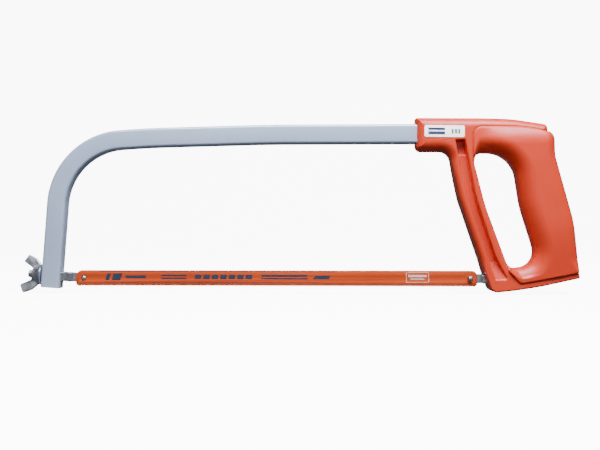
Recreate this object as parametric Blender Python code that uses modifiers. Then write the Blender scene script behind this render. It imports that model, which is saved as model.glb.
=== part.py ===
"""Hacksaw: a tubular bow frame with a cast handle, two blade holders, a wing nut and a 300 mm blade.

Axes: X runs along the blade from the wing nut to the handle, Z is up, and y = 0 is the frame's middle plane.
The blade lies on the -Y side of its holders. The origin is on the flat underside of the bow's top bar.
Sizes are in millimetres and become metres when a mesh or a location is made.
"""
import math

import bmesh
import bpy
from mathutils import Matrix, Vector

MM = 0.001
GAP = 0.3                      # clearance between touching pieces

# Blade and its two pegs
PEG_SPACING = 300.0            # hole to hole, standard hand hacksaw blade
FRONT_PEG_X = -200.0
REAR_PEG_X = FRONT_PEG_X + PEG_SPACING
HOLE_LINE_Z = -103.9           # blade holes, below the underside of the bow
BLADE_THICKNESS = 0.65
BLADE_TOP = 6.25                # blade edges, measured from the hole line
BLADE_BOTTOM = -6.4
BLADE_WELD = -3.6              # seam between the back and the tooth strip
BLADE_END_OVERHANG = 6.1       # blade beyond each hole
BLADE_NEAR_Y = -0.95           # face of the blade away from the holders
BLADE_HOLE_DIAMETER = 4.2
PEG_DIAMETER = 3.5
FRONT_PEG_TIP_Y = -1.9
REAR_PEG_TIP_Y = -3.6

# Bow tube
TUBE_HEIGHT = 15.0
TUBE_THICKNESS = 11.0
TUBE_WALL = 1.2
TUBE_CORNER = 2.2
BAR_Z = TUBE_HEIGHT / 2        # centre line of the level stretch, so its underside is at z = 0
BEND_RADIUS = 53.5
LEG_LEAN = math.radians(4.4)
LEG_DISTANCE = 24.8            # front peg to the leg's centre line, along the holder's axis
LEG_FOOT_DROP = 9.3            # leg end below the holder's axis
BAR_KNEES = [                  # gentle bends of the bar: X, radius, and slope of the bar in front of each
    (-54.0, 800.0, math.radians(1.4)), (-150.0, 600.0, math.radians(4.0)),
]
BAR_END_X = 82.0
NECK_INSET = 0.1               # the tube is drawn down a little where it's pressed into the socket

# Blade holders
SHANK = 7.0                    # square shank
TAB_HALF_LENGTH = 5.5
FRONT_TAB_START = -9.0         # along the holder's axis, from the peg
FRONT_SQUARE_START = -29.0
FRONT_TAIL_END = -43.6
THREAD_DIAMETER = 6.0
REAR_TAB_END = 8.7
REAR_SHANK_END = 29.0
SLACK = 3.0                    # axial travel from tight to slack
JOIN_OVERLAP = 1.0             # how far joined shapes run into each other

# Handle casting
PLATE_HALF = 9.5
GRIP_HALF = 14.5
SOCKET_MOUTH_X = 57.5
CHANNEL_FLOOR = 3.5            # half thickness of the strut's web
BOSS_HALF = 7.0                # half thickness round the rear shank
BOSS_TOP = -94.0
PIN_DIAMETER = 4.0
PIN_SUNK = 0.2                 # ends of the socket pins, below the handle's sides
SOCKET_PIN_X = (66.0, 75.0)
RETAINING_PIN_X = 122.0
RETAINING_PIN_DIAMETER = 3.0
RETAINING_PIN_Z = (-112.1, -98.3)
LABEL_SIZE = (30.2, 8.8, 0.2)
LABEL_CENTRE = (79.0, 8.7)     # X and Z
LABEL_TILT = math.radians(0.8)

# Wing nut
NUT_SKIRT_RADIUS = 7.9
NUT_BODY_RADIUS = 5.0
NUT_HEIGHT = 7.6
WING_THICKNESS = 2.6
WING_TURN = math.radians(15)   # wings at rest, turned about the thread
# Corner points of one wing: distance from the thread's axis, height above the seat, and rounding radius
WING_OUTLINE = [
    (4.4, 2.2, 0.3), (8.0, 2.2, 2.5), (12.6, 6.4, 5.0), (15.6, 13.2, 1.5), (9.2, 16.6, 1.5), (4.4, 7.8, 0.3),
]

# Cutters go right through what they cut
THROUGH = 40.0
THROUGH_WALL = 12.0

# The holder's axis leans with the leg: it goes through the front peg, square to the leg.
AXIS = Vector((math.cos(LEG_LEAN), 0.0, -math.sin(LEG_LEAN)))
LEG_UP = Vector((math.sin(LEG_LEAN), 0.0, math.cos(LEG_LEAN)))
FRONT_PEG = Vector((FRONT_PEG_X, 0.0, HOLE_LINE_Z))
LEG_FOOT = FRONT_PEG - AXIS * LEG_DISTANCE - LEG_UP * LEG_FOOT_DROP

# Colours: (red, green, blue), metallic, roughness
FINISHES = {
    "bow_metal": ((0.55, 0.58, 0.63), 0.9, 0.38),
    "handle_enamel": ((0.80, 0.13, 0.05), 0.0, 0.25),
    "blade_paint": ((0.72, 0.14, 0.05), 0.0, 0.4),
    "bright_zinc": ((0.75, 0.76, 0.78), 1.0, 0.3),
    "tooth_steel": ((0.62, 0.15, 0.06), 0.0, 0.5),
    "label_white": ((0.85, 0.86, 0.88), 0.0, 0.4),
    "plug_black": ((0.03, 0.03, 0.03), 0.0, 0.6),
}

# Handle outlines in X and Z: corner points, each with the radius that rounds it.
FRAME_OUTLINE = [
    (SOCKET_MOUTH_X, -6.4, 4.5), (83.1, -6.4, 9.0), (90.8, -43.0, 45.0), (115.1, -114.4, 5.5),
    (133.0, -112.5, 90.0), (152.0, -109.5, 90.0), (181.4, -103.0, 1.3), (180.7, -98.9, 1.4),
    (172.0, -96.0, 2.0), (157.0, -4.0, 6.0), (159.0, 4.0, 2.0), (158.2, 14.6, 2.0),
    (131.0, 18.9, 60.0), (110.0, 19.6, 200.0), (SOCKET_MOUTH_X, 20.0, 2.5),
]
FINGER_HOLE = [
    (100.0, -7.5, 7.0), (132.0, -7.5, 22.0), (138.2, -47.5, 50.0), (147.8, -79.0, 20.0),
    (149.2, -94.0, 12.0), (128.0, -95.6, 7.0), (110.4, -48.0, 90.0),
]
GRIP_OUTLINE = [
    (100.6, -6.5, 5.5), (100.6, 12.4, 7.5), (137.7, 12.1, 80.0), (162.9, 7.4, 8.0), (163.2, -9.5, 25.0),
    (177.1, -59.5, 60.0), (181.0, -90.0, 10.0), (180.4, -99.1, 6.0), (135.8, -107.5, 6.5), (126.0, -97.0, 5.5),
    (149.2, -94.0, 12.0), (147.8, -79.0, 20.0), (138.2, -47.5, 50.0), (132.0, -7.5, 22.0),
]
CHANNEL = [
    (87.3, 2.4, 2.0), (94.7, 2.4, 2.0), (102.7, -40.8, 70.0), (117.5, -86.4, 50.0), (126.7, -103.9, 2.0),
    (117.4, -103.9, 2.0), (99.5, -51.2, 90.0), (91.6, -22.4, 60.0),
]


# ---------- helpers ----------

def clear_scene():
    for old in list(bpy.data.objects):
        bpy.data.objects.remove(old)


def make_collection(name):
    collection = bpy.data.collections.new(name)
    bpy.context.scene.collection.children.link(collection)
    return collection


def finish_material(slot):
    """One Principled material per finish, shared by the pieces that have it."""
    material = bpy.data.materials.get(slot)
    if material is None:
        colour, metallic, roughness = FINISHES[slot]
        material = bpy.data.materials.new(slot)
        material.use_nodes = True
        shader = material.node_tree.nodes["Principled BSDF"]
        shader.inputs["Base Color"].default_value = (*colour, 1.0)
        shader.inputs["Metallic"].default_value = metallic
        shader.inputs["Roughness"].default_value = roughness
    return material


def add_mesh_object(name, mesh, collection, matrix=None):
    piece = bpy.data.objects.new(name, mesh)
    collection.objects.link(piece)
    if matrix is not None:
        piece.matrix_world = matrix
    return piece


def paint(piece, slot):
    piece.data.materials.clear()
    piece.data.materials.append(finish_material(slot))


def smooth(piece, angle=35.0):
    piece.data.shade_smooth()
    piece.data.set_sharp_from_angle(angle=math.radians(angle))


def rounded_points(corners, step_degrees=12.0):
    """Points round a closed outline whose corners are replaced by arcs of the given radii."""
    points = []
    for index, (x, z, radius) in enumerate(corners):
        here = Vector((x, z))
        before = Vector(corners[index - 1][:2])
        after = Vector(corners[(index + 1) % len(corners)][:2])
        back = (before - here).normalized()
        ahead = (after - here).normalized()
        opening = back.angle(ahead)
        reach = radius / math.tan(opening / 2)
        centre = here + (back + ahead).normalized() * (radius / math.sin(opening / 2))
        start = here + back * reach - centre
        turn = math.pi - opening
        if back.cross(ahead) > 0:
            turn = -turn
        steps = max(1, round(abs(math.degrees(turn)) / step_degrees))
        for step in range(steps + 1):
            angle = turn * step / steps
            points.append(centre + Matrix.Rotation(angle, 2) @ start)
    return points


def plate(name, points, half_thickness, collection, bevel=0.0, bevel_steps=2, centre_y=0.0, slot=None):
    """A flat outline in X and Z, thickened along Y, with its rims rounded inside the outline."""
    curve = bpy.data.curves.new(name, "CURVE")
    curve.dimensions = "2D"
    curve.fill_mode = "BOTH"
    curve.extrude = (half_thickness - bevel) * MM
    curve.bevel_depth = bevel * MM
    curve.bevel_resolution = bevel_steps
    curve.offset = -bevel * MM
    spline = curve.splines.new("POLY")
    spline.points.add(len(points) - 1)
    spline.use_cyclic_u = True
    for target, point in zip(spline.points, points):
        target.co = (point[0] * MM, point[1] * MM, 0.0, 1.0)
    holder = bpy.data.objects.new(name + "_curve", curve)
    collection.objects.link(holder)
    holder.matrix_world = Matrix.Translation((0, centre_y * MM, 0)) @ Matrix.Rotation(math.pi / 2, 4, "X")
    return freeze(holder, name, collection, slot)


def freeze(holder, name, collection, slot=None):
    """Replace a curve, or an object with modifiers, by its closed mesh."""
    bpy.context.view_layer.update()
    graph = bpy.context.evaluated_depsgraph_get()
    mesh = bpy.data.meshes.new_from_object(holder.evaluated_get(graph))
    welder = bmesh.new()
    welder.from_mesh(mesh)
    bmesh.ops.remove_doubles(welder, verts=welder.verts, dist=0.00001)
    bmesh.ops.recalc_face_normals(welder, faces=welder.faces)
    welder.to_mesh(mesh)
    welder.free()
    piece = add_mesh_object(name, mesh, collection, holder.matrix_world.copy())
    bpy.data.objects.remove(holder)
    if slot:
        paint(piece, slot)
    return piece


def box(name, size, matrix, collection):
    """A box of the given size in mm, centred on the matrix."""
    maker = bmesh.new()
    bmesh.ops.create_cube(maker, size=1.0)
    bmesh.ops.scale(maker, vec=[side * MM for side in size], verts=maker.verts)
    mesh = bpy.data.meshes.new(name)
    maker.to_mesh(mesh)
    maker.free()
    return add_mesh_object(name, mesh, collection, matrix)


def rod(name, diameter, length, matrix, collection, segments=24):
    """A closed cylinder along the matrix's own Z, centred on it."""
    maker = bmesh.new()
    bmesh.ops.create_cone(maker, cap_ends=True, segments=segments, radius1=diameter / 2 * MM,
                          radius2=diameter / 2 * MM, depth=length * MM)
    mesh = bpy.data.meshes.new(name)
    maker.to_mesh(mesh)
    maker.free()
    return add_mesh_object(name, mesh, collection, matrix)


def at(x, y, z):
    return Matrix.Translation((x * MM, y * MM, z * MM))


def along_y(x, y, z):
    return at(x, y, z) @ Matrix.Rotation(math.pi / 2, 4, "X")


def front_axis_frame(distance):
    """A frame at a distance along the front holder's axis from the peg: its Z runs along the axis."""
    place = FRONT_PEG + AXIS * distance
    return at(*place) @ Matrix.Rotation(math.pi / 2 + LEG_LEAN, 4, "Y")


def boolean(piece, other, operation, solver="EXACT"):
    modifier = piece.modifiers.new(operation.lower() + "_" + other.name, "BOOLEAN")
    modifier.operation = operation
    modifier.solver = solver
    modifier.object = other


def cut(piece, *others):
    for other in others:
        hide_tool(other)
        boolean(piece, other, "DIFFERENCE")


def join(piece, *others):
    for other in others:
        hide_tool(other)
        boolean(piece, other, "UNION")


def hide_tool(tool):
    tool.hide_render = True
    tool.display_type = "WIRE"


def bevel_edges(piece, width, segments=2):
    modifier = piece.modifiers.new("edge_rounding", "BEVEL")
    modifier.width = width * MM
    modifier.segments = segments
    modifier.limit_method = "ANGLE"
    modifier.angle_limit = math.radians(40)


def set_origin(piece, place):
    """Move the object's origin to a place in mm without moving its mesh."""
    shift = Matrix.Translation(piece.matrix_world.inverted() @ (Vector(place) * MM))
    piece.data.transform(shift.inverted())
    piece.matrix_world = piece.matrix_world @ shift


# ---------- bow ----------

def bow_stations():
    """Centre line points in X and Z, each with the tube's section, from the leg's end into the socket."""
    leg_foot = LEG_FOOT.xz
    leg = LEG_UP.xz
    end = Vector((BAR_END_X, BAR_Z))
    turns = [(*end, 0.01)]
    slope = 0.0
    for x, radius, next_slope in BAR_KNEES:
        last_x, last_z = turns[0][:2]
        turns.insert(0, (x, last_z - (last_x - x) * math.tan(slope), radius))
        slope = next_slope
    knee = Vector(turns[0][:2])
    bar_front = Vector((math.cos(slope), math.sin(slope)))
    corner = leg_foot + leg * ((knee - leg_foot).cross(bar_front) / leg.cross(bar_front))
    turns = [(*leg_foot, 0.01), (*corner, BEND_RADIUS), *turns]
    bent = rounded_points(turns, 5.0)
    bend = [point for point in bent if (point - leg_foot).length > 1 and (point - end).length > 1]
    mouth = Vector((SOCKET_MOUTH_X - GAP, BAR_Z))
    neck = Vector((SOCKET_MOUTH_X + GAP, BAR_Z))
    full = [(point, tube_section()) for point in (leg_foot, *bend, mouth)]
    drawn = [(point, tube_section(NECK_INSET)) for point in (neck, end)]
    return full + drawn


def tube_section(inset=0.0):
    half_height = TUBE_HEIGHT / 2 - inset
    half_thickness = TUBE_THICKNESS / 2 - inset
    corners = [(half_thickness, half_height, TUBE_CORNER), (-half_thickness, half_height, TUBE_CORNER),
               (-half_thickness, -half_height, TUBE_CORNER), (half_thickness, -half_height, TUBE_CORNER)]
    return rounded_points(corners, 30.0)


def sweep(name, stations, collection):
    """An open-ended skin: each station's section stands square to the path in the X-Z plane."""
    skin = bmesh.new()
    rings = []
    last = len(stations) - 1
    for index, (point, section) in enumerate(stations):
        ahead = stations[min(index + 1, last)][0] - point
        behind = point - stations[max(index - 1, 0)][0]
        along = (ahead.normalized() + behind.normalized()).normalized()
        side = Vector((-along.y, along.x))
        ring = []
        for across, height in section:
            place = point + side * height
            ring.append(skin.verts.new((place.x * MM, across * MM, place.y * MM)))
        rings.append(ring)
    for first, second in zip(rings, rings[1:]):
        for index in range(len(section)):
            after = (index + 1) % len(section)
            skin.faces.new((first[index], first[after], second[after], second[index]))
    bmesh.ops.recalc_face_normals(skin, faces=skin.faces)
    mesh = bpy.data.meshes.new(name)
    skin.to_mesh(mesh)
    skin.free()
    return add_mesh_object(name, mesh, collection)


def make_bow(parts, tools):
    tube = sweep("bow_tube", bow_stations(), parts)
    wall = tube.modifiers.new("wall", "SOLIDIFY")
    wall.thickness = TUBE_WALL * MM
    wall.offset = -1.0
    square_hole = SHANK + 2 * GAP
    inner_face = front_axis_frame(TUBE_HEIGHT / 2 - LEG_DISTANCE)
    outer_face = front_axis_frame(-TUBE_HEIGHT / 2 - LEG_DISTANCE)
    cut(tube, box("leg_square_hole", (square_hole, square_hole, THROUGH_WALL), inner_face, tools))
    cut(tube, rod("leg_round_hole", THREAD_DIAMETER + 2 * GAP, THROUGH_WALL, outer_face, tools))
    for index, x in enumerate(SOCKET_PIN_X):
        pin_place = along_y(x, 0, BAR_Z)
        cut(tube, rod("tube_pin_hole_%d" % index, PIN_DIAMETER + 2 * GAP, THROUGH, pin_place, tools))
    paint(tube, "bow_metal")
    smooth(tube)

    plug_length = LEG_FOOT_DROP - SHANK / 2 - 2 * GAP
    place = at(*(LEG_FOOT + LEG_UP * plug_length / 2)) @ Matrix.Rotation(LEG_LEAN, 4, "Y")
    inside = 2 * (TUBE_WALL + GAP)
    plug_size = (TUBE_HEIGHT - inside, TUBE_THICKNESS - inside, plug_length)
    plug = box("leg_end_plug", plug_size, place, parts)
    bevel_edges(plug, 0.6)
    paint(plug, "plug_black")


# ---------- holders, pegs and nut ----------

def make_front_holder(parts, tools):
    """A square shank with a half-thickness tab towards the blade and a round tail through the leg."""
    square_length = FRONT_TAB_START - FRONT_SQUARE_START
    square_middle = (FRONT_TAB_START + FRONT_SQUARE_START) / 2
    holder = box("front_holder", (SHANK, SHANK, square_length), front_axis_frame(square_middle), parts)
    tab_from = FRONT_TAB_START - JOIN_OVERLAP
    tab_place = front_axis_frame((TAB_HALF_LENGTH + tab_from) / 2) @ at(0, SHANK / 4, 0)
    tab = box("front_tab", (SHANK, SHANK / 2, TAB_HALF_LENGTH - tab_from), tab_place, tools)
    tail_from = FRONT_SQUARE_START + JOIN_OVERLAP
    tail_place = front_axis_frame((tail_from + FRONT_TAIL_END) / 2)
    tail = rod("front_tail", THREAD_DIAMETER, tail_from - FRONT_TAIL_END, tail_place, tools, 28)
    bevel_edges(tail, 0.5)
    join(holder, tab, tail)
    peg_place = along_y(FRONT_PEG_X, 0, HOLE_LINE_Z)
    cut(holder, rod("front_peg_hole", PEG_DIAMETER + 2 * GAP, THROUGH_WALL, peg_place, tools))
    paint(holder, "bright_zinc")
    smooth(holder)
    make_peg("front_peg", FRONT_PEG_X, FRONT_PEG_TIP_Y, parts)


def make_rear_holder(parts, tools):
    shank_length = REAR_SHANK_END - REAR_TAB_END
    shank_x = REAR_PEG_X + (REAR_SHANK_END + REAR_TAB_END) / 2
    holder = box("rear_holder", (shank_length, SHANK, SHANK), at(shank_x, 0, HOLE_LINE_Z), parts)
    tab_to = REAR_TAB_END + JOIN_OVERLAP
    tab_place = at(REAR_PEG_X + (tab_to - TAB_HALF_LENGTH) / 2, SHANK / 4, HOLE_LINE_Z)
    tab = box("rear_tab", (tab_to + TAB_HALF_LENGTH, SHANK / 2, SHANK), tab_place, tools)
    join(holder, tab)
    peg_place = along_y(REAR_PEG_X, 0, HOLE_LINE_Z)
    cut(holder, rod("rear_peg_hole", PEG_DIAMETER + 2 * GAP, THROUGH_WALL, peg_place, tools))
    slot_width = RETAINING_PIN_DIAMETER + 2 * GAP
    slot_place = at(RETAINING_PIN_X - SLACK / 2, 0, HOLE_LINE_Z)
    cut(holder, box("shank_slot", (slot_width + SLACK, slot_width, THROUGH_WALL), slot_place, tools))
    paint(holder, "bright_zinc")
    smooth(holder)
    make_peg("rear_peg", REAR_PEG_X, REAR_PEG_TIP_Y, parts)


def make_peg(name, x, tip_y, parts):
    back_y = SHANK / 2
    place = along_y(x, (back_y + tip_y) / 2, HOLE_LINE_Z)
    peg = rod(name, PEG_DIAMETER, back_y - tip_y, place, parts)
    bevel_edges(peg, 0.6)
    paint(peg, "bright_zinc")
    smooth(peg)


def make_wing_nut(parts, tools):
    """Turned about its own Z, which points away from the leg along the thread."""
    seat = -LEG_DISTANCE - TUBE_HEIGHT / 2 - GAP
    bore = THREAD_DIAMETER / 2 + GAP
    body = NUT_BODY_RADIUS
    skirt = NUT_SKIRT_RADIUS
    profile = [(bore, NUT_HEIGHT), (body, NUT_HEIGHT), (body + 0.4, 4.2), (6.4, 2.6),
               (skirt - 0.3, 1.2), (skirt, 0.4), (skirt - 0.5, 0.0), (bore, 0.0)]
    mesh = bpy.data.meshes.new("wing_nut")
    count = len(profile)
    edges = [(index, (index + 1) % count) for index in range(count)]
    mesh.from_pydata([(radius * MM, 0.0, height * MM) for radius, height in profile], edges, [])
    outward = front_axis_frame(seat) @ Matrix.Rotation(math.pi, 4, "X") @ Matrix.Rotation(WING_TURN, 4, "Z")
    turned = add_mesh_object("wing_nut_profile", mesh, parts, outward)
    turning = turned.modifiers.new("turning", "SCREW")
    turning.axis = "Z"
    turning.steps = 32
    turning.render_steps = 32
    turning.use_merge_vertices = True
    turning.merge_threshold = 0.00001
    nut = freeze(turned, "wing_nut", parts)
    for side, name in ((1, "wing_right"), (-1, "wing_left")):
        corners = [(side * radius, height, rounding) for radius, height, rounding in WING_OUTLINE]
        ear = plate(name, rounded_points(corners, 15.0), WING_THICKNESS / 2, tools, 0.8)
        ear.matrix_world = outward @ ear.matrix_world
        hide_tool(ear)
        boolean(nut, ear, "UNION", "MANIFOLD")
    paint(nut, "bright_zinc")
    smooth(nut)


# ---------- blade ----------

def blade_strip(name, lowest, highest, corner_top, corner_bottom, slot, parts):
    left = FRONT_PEG_X - BLADE_END_OVERHANG
    right = REAR_PEG_X + BLADE_END_OVERHANG
    corners = [(left, HOLE_LINE_Z + lowest, corner_bottom), (left, HOLE_LINE_Z + highest, corner_top),
               (right, HOLE_LINE_Z + highest, corner_top), (right, HOLE_LINE_Z + lowest, corner_bottom)]
    middle_y = BLADE_NEAR_Y + BLADE_THICKNESS / 2
    points = rounded_points(corners, 18.0)
    return plate(name, points, BLADE_THICKNESS / 2, parts, centre_y=middle_y, slot=slot)


def make_blade(parts, tools):
    weld_gap = 0.1
    back = blade_strip("blade_back", BLADE_WELD + weld_gap, BLADE_TOP, 4.5, 0.4, "blade_paint", parts)
    for name, x in (("blade_front_hole", FRONT_PEG_X), ("blade_rear_hole", REAR_PEG_X)):
        cut(back, rod(name, BLADE_HOLE_DIAMETER, THROUGH_WALL, along_y(x, 0, HOLE_LINE_Z), tools))
    blade_strip("blade_tooth_edge", BLADE_BOTTOM, BLADE_WELD, 0.4, 2.6, "tooth_steel", parts)


# ---------- handle ----------

def make_handle(parts, tools):
    handle = plate("handle", rounded_points(FRAME_OUTLINE), PLATE_HALF, parts, 1.2)
    cut(handle, plate("finger_hole", rounded_points(FINGER_HOLE), THROUGH / 2, tools))
    join(handle, plate("grip_cushion", rounded_points(GRIP_OUTLINE), GRIP_HALF, tools, 5.0, 3))
    for side, name in ((-1, "channel_near"), (1, "channel_far")):
        channel = plate(name, rounded_points(CHANNEL), PLATE_HALF, tools,
                        centre_y=side * (CHANNEL_FLOOR + PLATE_HALF))
        boss_place = at(RETAINING_PIN_X, 0, BOSS_TOP - THROUGH / 2)
        cut(channel, box(name + "_boss", (THROUGH, 2 * BOSS_HALF, THROUGH), boss_place, tools))
        cut(handle, channel)
    socket_bottom = BAR_END_X + 2 * GAP
    socket_size = (THROUGH, TUBE_THICKNESS + 2 * GAP, TUBE_HEIGHT + 2 * GAP)
    cut(handle, box("socket_cavity", socket_size, at(socket_bottom - THROUGH / 2, 0, BAR_Z), tools))
    for index, x in enumerate(SOCKET_PIN_X):
        pin_place = along_y(x, 0, BAR_Z)
        cut(handle, rod("socket_pin_hole_%d" % index, PIN_DIAMETER + 2 * GAP, THROUGH, pin_place, tools))
    shank_bottom = REAR_PEG_X + REAR_SHANK_END + SLACK + 2 * GAP
    shank_size = (THROUGH, SHANK + 2 * GAP, SHANK + 2 * GAP)
    cut(handle, box("shank_hole", shank_size, at(shank_bottom - THROUGH / 2, 0, HOLE_LINE_Z), tools))
    pin_hole_top = RETAINING_PIN_Z[1] + 2 * GAP
    cut(handle, rod("retaining_pin_hole", RETAINING_PIN_DIAMETER + 2 * GAP, THROUGH,
                    at(RETAINING_PIN_X, 0, pin_hole_top - THROUGH / 2), tools))
    paint(handle, "handle_enamel")
    smooth(handle, 50.0)


def make_handle_pins(parts):
    bottom, top = RETAINING_PIN_Z
    socket_pin_length = 2 * (PLATE_HALF - PIN_SUNK)
    retaining_place = at(RETAINING_PIN_X, 0, (top + bottom) / 2)
    pins = [
        ("socket_pin_front", PIN_DIAMETER, socket_pin_length, along_y(SOCKET_PIN_X[0], 0, BAR_Z)),
        ("socket_pin_rear", PIN_DIAMETER, socket_pin_length, along_y(SOCKET_PIN_X[1], 0, BAR_Z)),
        ("rear_retaining_pin", RETAINING_PIN_DIAMETER, top - bottom, retaining_place),
    ]
    for name, diameter, length, place in pins:
        pin = rod(name, diameter, length, place, parts)
        bevel_edges(pin, 0.3)
        paint(pin, "bright_zinc")
        smooth(pin)


def make_label(parts):
    half_length = LABEL_SIZE[0] / 2
    half_height = LABEL_SIZE[1] / 2
    half_thickness = LABEL_SIZE[2] / 2
    corners = [(-half_length, -half_height, 1.2), (-half_length, half_height, 1.2),
               (half_length, half_height, 1.2), (half_length, -half_height, 1.2)]
    label = plate("label", rounded_points(corners, 30.0), half_thickness, parts, slot="label_white")
    near_y = -PLATE_HALF - LABEL_SIZE[2] - half_thickness
    place = at(LABEL_CENTRE[0], near_y, LABEL_CENTRE[1]) @ Matrix.Rotation(LABEL_TILT, 4, "Y")
    label.matrix_world = place @ label.matrix_world


def main():
    clear_scene()
    parts = make_collection("hacksaw")
    tools = make_collection("cutters")
    make_bow(parts, tools)
    make_front_holder(parts, tools)
    make_rear_holder(parts, tools)
    make_wing_nut(parts, tools)
    make_blade(parts, tools)
    make_handle(parts, tools)
    make_handle_pins(parts)
    make_label(parts)
    for name in ("front_holder", "front_peg", "blade_back", "blade_tooth_edge"):
        set_origin(bpy.data.objects[name], FRONT_PEG)


main()
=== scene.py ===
"""Looks of the hacksaw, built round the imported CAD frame.

Lengths named below are millimetres in the frame's axes: +X along the blade towards the handle, +Z up, and the
open side of the blade faces -Y. Meshes are made in millimetres and stored in metres.
"""
import math

import bmesh
import bpy
import numpy as np
from mathutils import Matrix, Vector


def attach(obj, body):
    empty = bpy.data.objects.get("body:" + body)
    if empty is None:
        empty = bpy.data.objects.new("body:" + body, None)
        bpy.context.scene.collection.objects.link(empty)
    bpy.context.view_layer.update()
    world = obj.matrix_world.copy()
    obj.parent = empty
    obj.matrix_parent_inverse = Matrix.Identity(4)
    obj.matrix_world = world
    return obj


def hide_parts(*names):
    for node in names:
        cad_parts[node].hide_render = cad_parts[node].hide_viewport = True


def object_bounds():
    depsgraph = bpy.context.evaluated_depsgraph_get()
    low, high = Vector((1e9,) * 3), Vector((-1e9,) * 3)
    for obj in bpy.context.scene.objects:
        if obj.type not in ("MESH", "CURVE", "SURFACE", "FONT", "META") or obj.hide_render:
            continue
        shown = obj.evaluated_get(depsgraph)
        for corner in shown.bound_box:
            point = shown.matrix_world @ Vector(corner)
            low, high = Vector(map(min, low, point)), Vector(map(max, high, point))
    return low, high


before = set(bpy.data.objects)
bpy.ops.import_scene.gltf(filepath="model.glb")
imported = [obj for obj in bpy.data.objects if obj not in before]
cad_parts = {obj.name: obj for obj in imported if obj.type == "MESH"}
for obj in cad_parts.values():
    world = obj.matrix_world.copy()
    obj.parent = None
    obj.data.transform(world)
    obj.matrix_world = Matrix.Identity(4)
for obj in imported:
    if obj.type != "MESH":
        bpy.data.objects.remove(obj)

cad_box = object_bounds()
MM = 0.001

# Driving sizes, the CAD's or a hair inside them
FRONT_PEG_X = -200.0
REAR_PEG_X = 100.0
HOLE_LINE_Z = -103.9
LEG_LEAN = math.radians(4.4)
BLADE_NEAR_Y = -0.95
BLADE_THICKNESS = 0.65
BLADE_TOP = HOLE_LINE_Z + 6.2
BLADE_BOTTOM = HOLE_LINE_Z - 6.35
BLADE_WELD = HOLE_LINE_Z - 3.6
BLADE_LEFT = FRONT_PEG_X - 6.0
BLADE_RIGHT = REAR_PEG_X + 5.4
BLADE_HOLE_RADIUS = 2.1
PEG_RADIUS = 1.75
FRONT_PEG_TIP_Y = -1.8
REAR_PEG_TIP_Y = -3.5
TUBE_HEIGHT = 15.0
TUBE_THICKNESS = 11.0
TUBE_WALL = 1.2
TUBE_CORNER = 2.2
BAR_Z = TUBE_HEIGHT / 2
BEND_RADIUS = 53.5
LEG_FOOT_DROP = 9.3
BAR_KNEES = [              # gentle bends of the bar: X, radius, and slope of the bar in front of each
    (-54.0, 800.0, math.radians(1.4)), (-150.0, 600.0, math.radians(4.0)),
]
LEG_DISTANCE = 24.8        # along the holder's axis from the front peg
BAR_END_X = 82.0
SHANK = 7.0
TAB_HALF_LENGTH = 5.4
FRONT_TAB_START = -9.0
FRONT_SQUARE_START = -29.0
FRONT_TAIL_END = -43.5
THREAD_RADIUS = 3.0
THREAD_PITCH = 1.0
REAR_TAB_END = 8.7
REAR_SHANK_END = 28.9
RETAINING_PIN_X = 122.0
SLACK = 3.0
NUT_SEAT = -LEG_DISTANCE - TUBE_HEIGHT / 2 - 0.3
NUT_HEIGHT = 7.6
WING_TURN = math.radians(15)
TEETH_PER_INCH = 18
PLATE_HALF = 9.5
GRIP_HALF = 14.4
GRIP_STEP_HALF = 9.95      # where the cushion steps up from the frame's sides
SOCKET_MOUTH_X = 57.6
LABEL_CENTRE = (79.0, 8.7)     # X and Z
LABEL_TILT = math.radians(0.8)
LABEL_THICKNESS = 0.2
INK_THICKNESS = 0.03

# Emission strengths
LABEL_GLOW = 1.6           # stands in for the glare on the label
FLOOR_GLOW = 9.0           # brings the floor close to white

# Handle outlines in X and Z: corner points, each with the radius that rounds it
FRAME_OUTLINE = [
    (SOCKET_MOUTH_X, -6.3, 4.5), (83.2, -6.3, 9.0), (90.9, -43.0, 45.0), (115.2, -114.3, 5.5),
    (133.0, -112.4, 90.0), (152.0, -109.4, 90.0), (181.2, -102.9, 0.9), (180.6, -98.9, 1.4),
    (172.0, -96.0, 2.0), (157.0, -4.0, 6.0), (158.9, 4.0, 2.0), (158.4, 14.5, 4.0),
    (131.0, 18.8, 60.0), (110.0, 19.5, 200.0), (SOCKET_MOUTH_X, 19.9, 1.5),
]
FINGER_HOLE = [
    (100.1, -7.5, 7.0), (132.0, -7.5, 22.0), (138.2, -47.5, 50.0), (147.8, -79.0, 20.0),
    (149.2, -94.0, 12.0), (128.0, -95.6, 7.0), (110.5, -48.0, 90.0),
]
GRIP_OUTLINE = [
    (100.6, -10.0, 4.0), (100.7, 12.3, 7.5), (137.7, 12.0, 80.0), (162.6, 7.3, 8.0),
    (163.0, -9.5, 25.0), (176.9, -59.5, 60.0), (180.8, -90.0, 10.0), (180.2, -98.9, 1.5),
    (136.0, -107.2, 6.0), (126.8, -97.0, 2.0), (131.0, -88.0, 5.0), (109.0, -22.0, 5.0),
]
CHANNEL = [
    (87.3, 2.4, 1.2), (94.7, 2.4, 1.2), (102.7, -40.8, 70.0), (117.5, -86.4, 50.0),
    (126.7, HOLE_LINE_Z, 1.2), (117.4, HOLE_LINE_Z, 1.2), (99.5, -51.2, 90.0), (91.6, -22.4, 60.0),
]


# ---------- outlines and fields ----------

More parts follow.
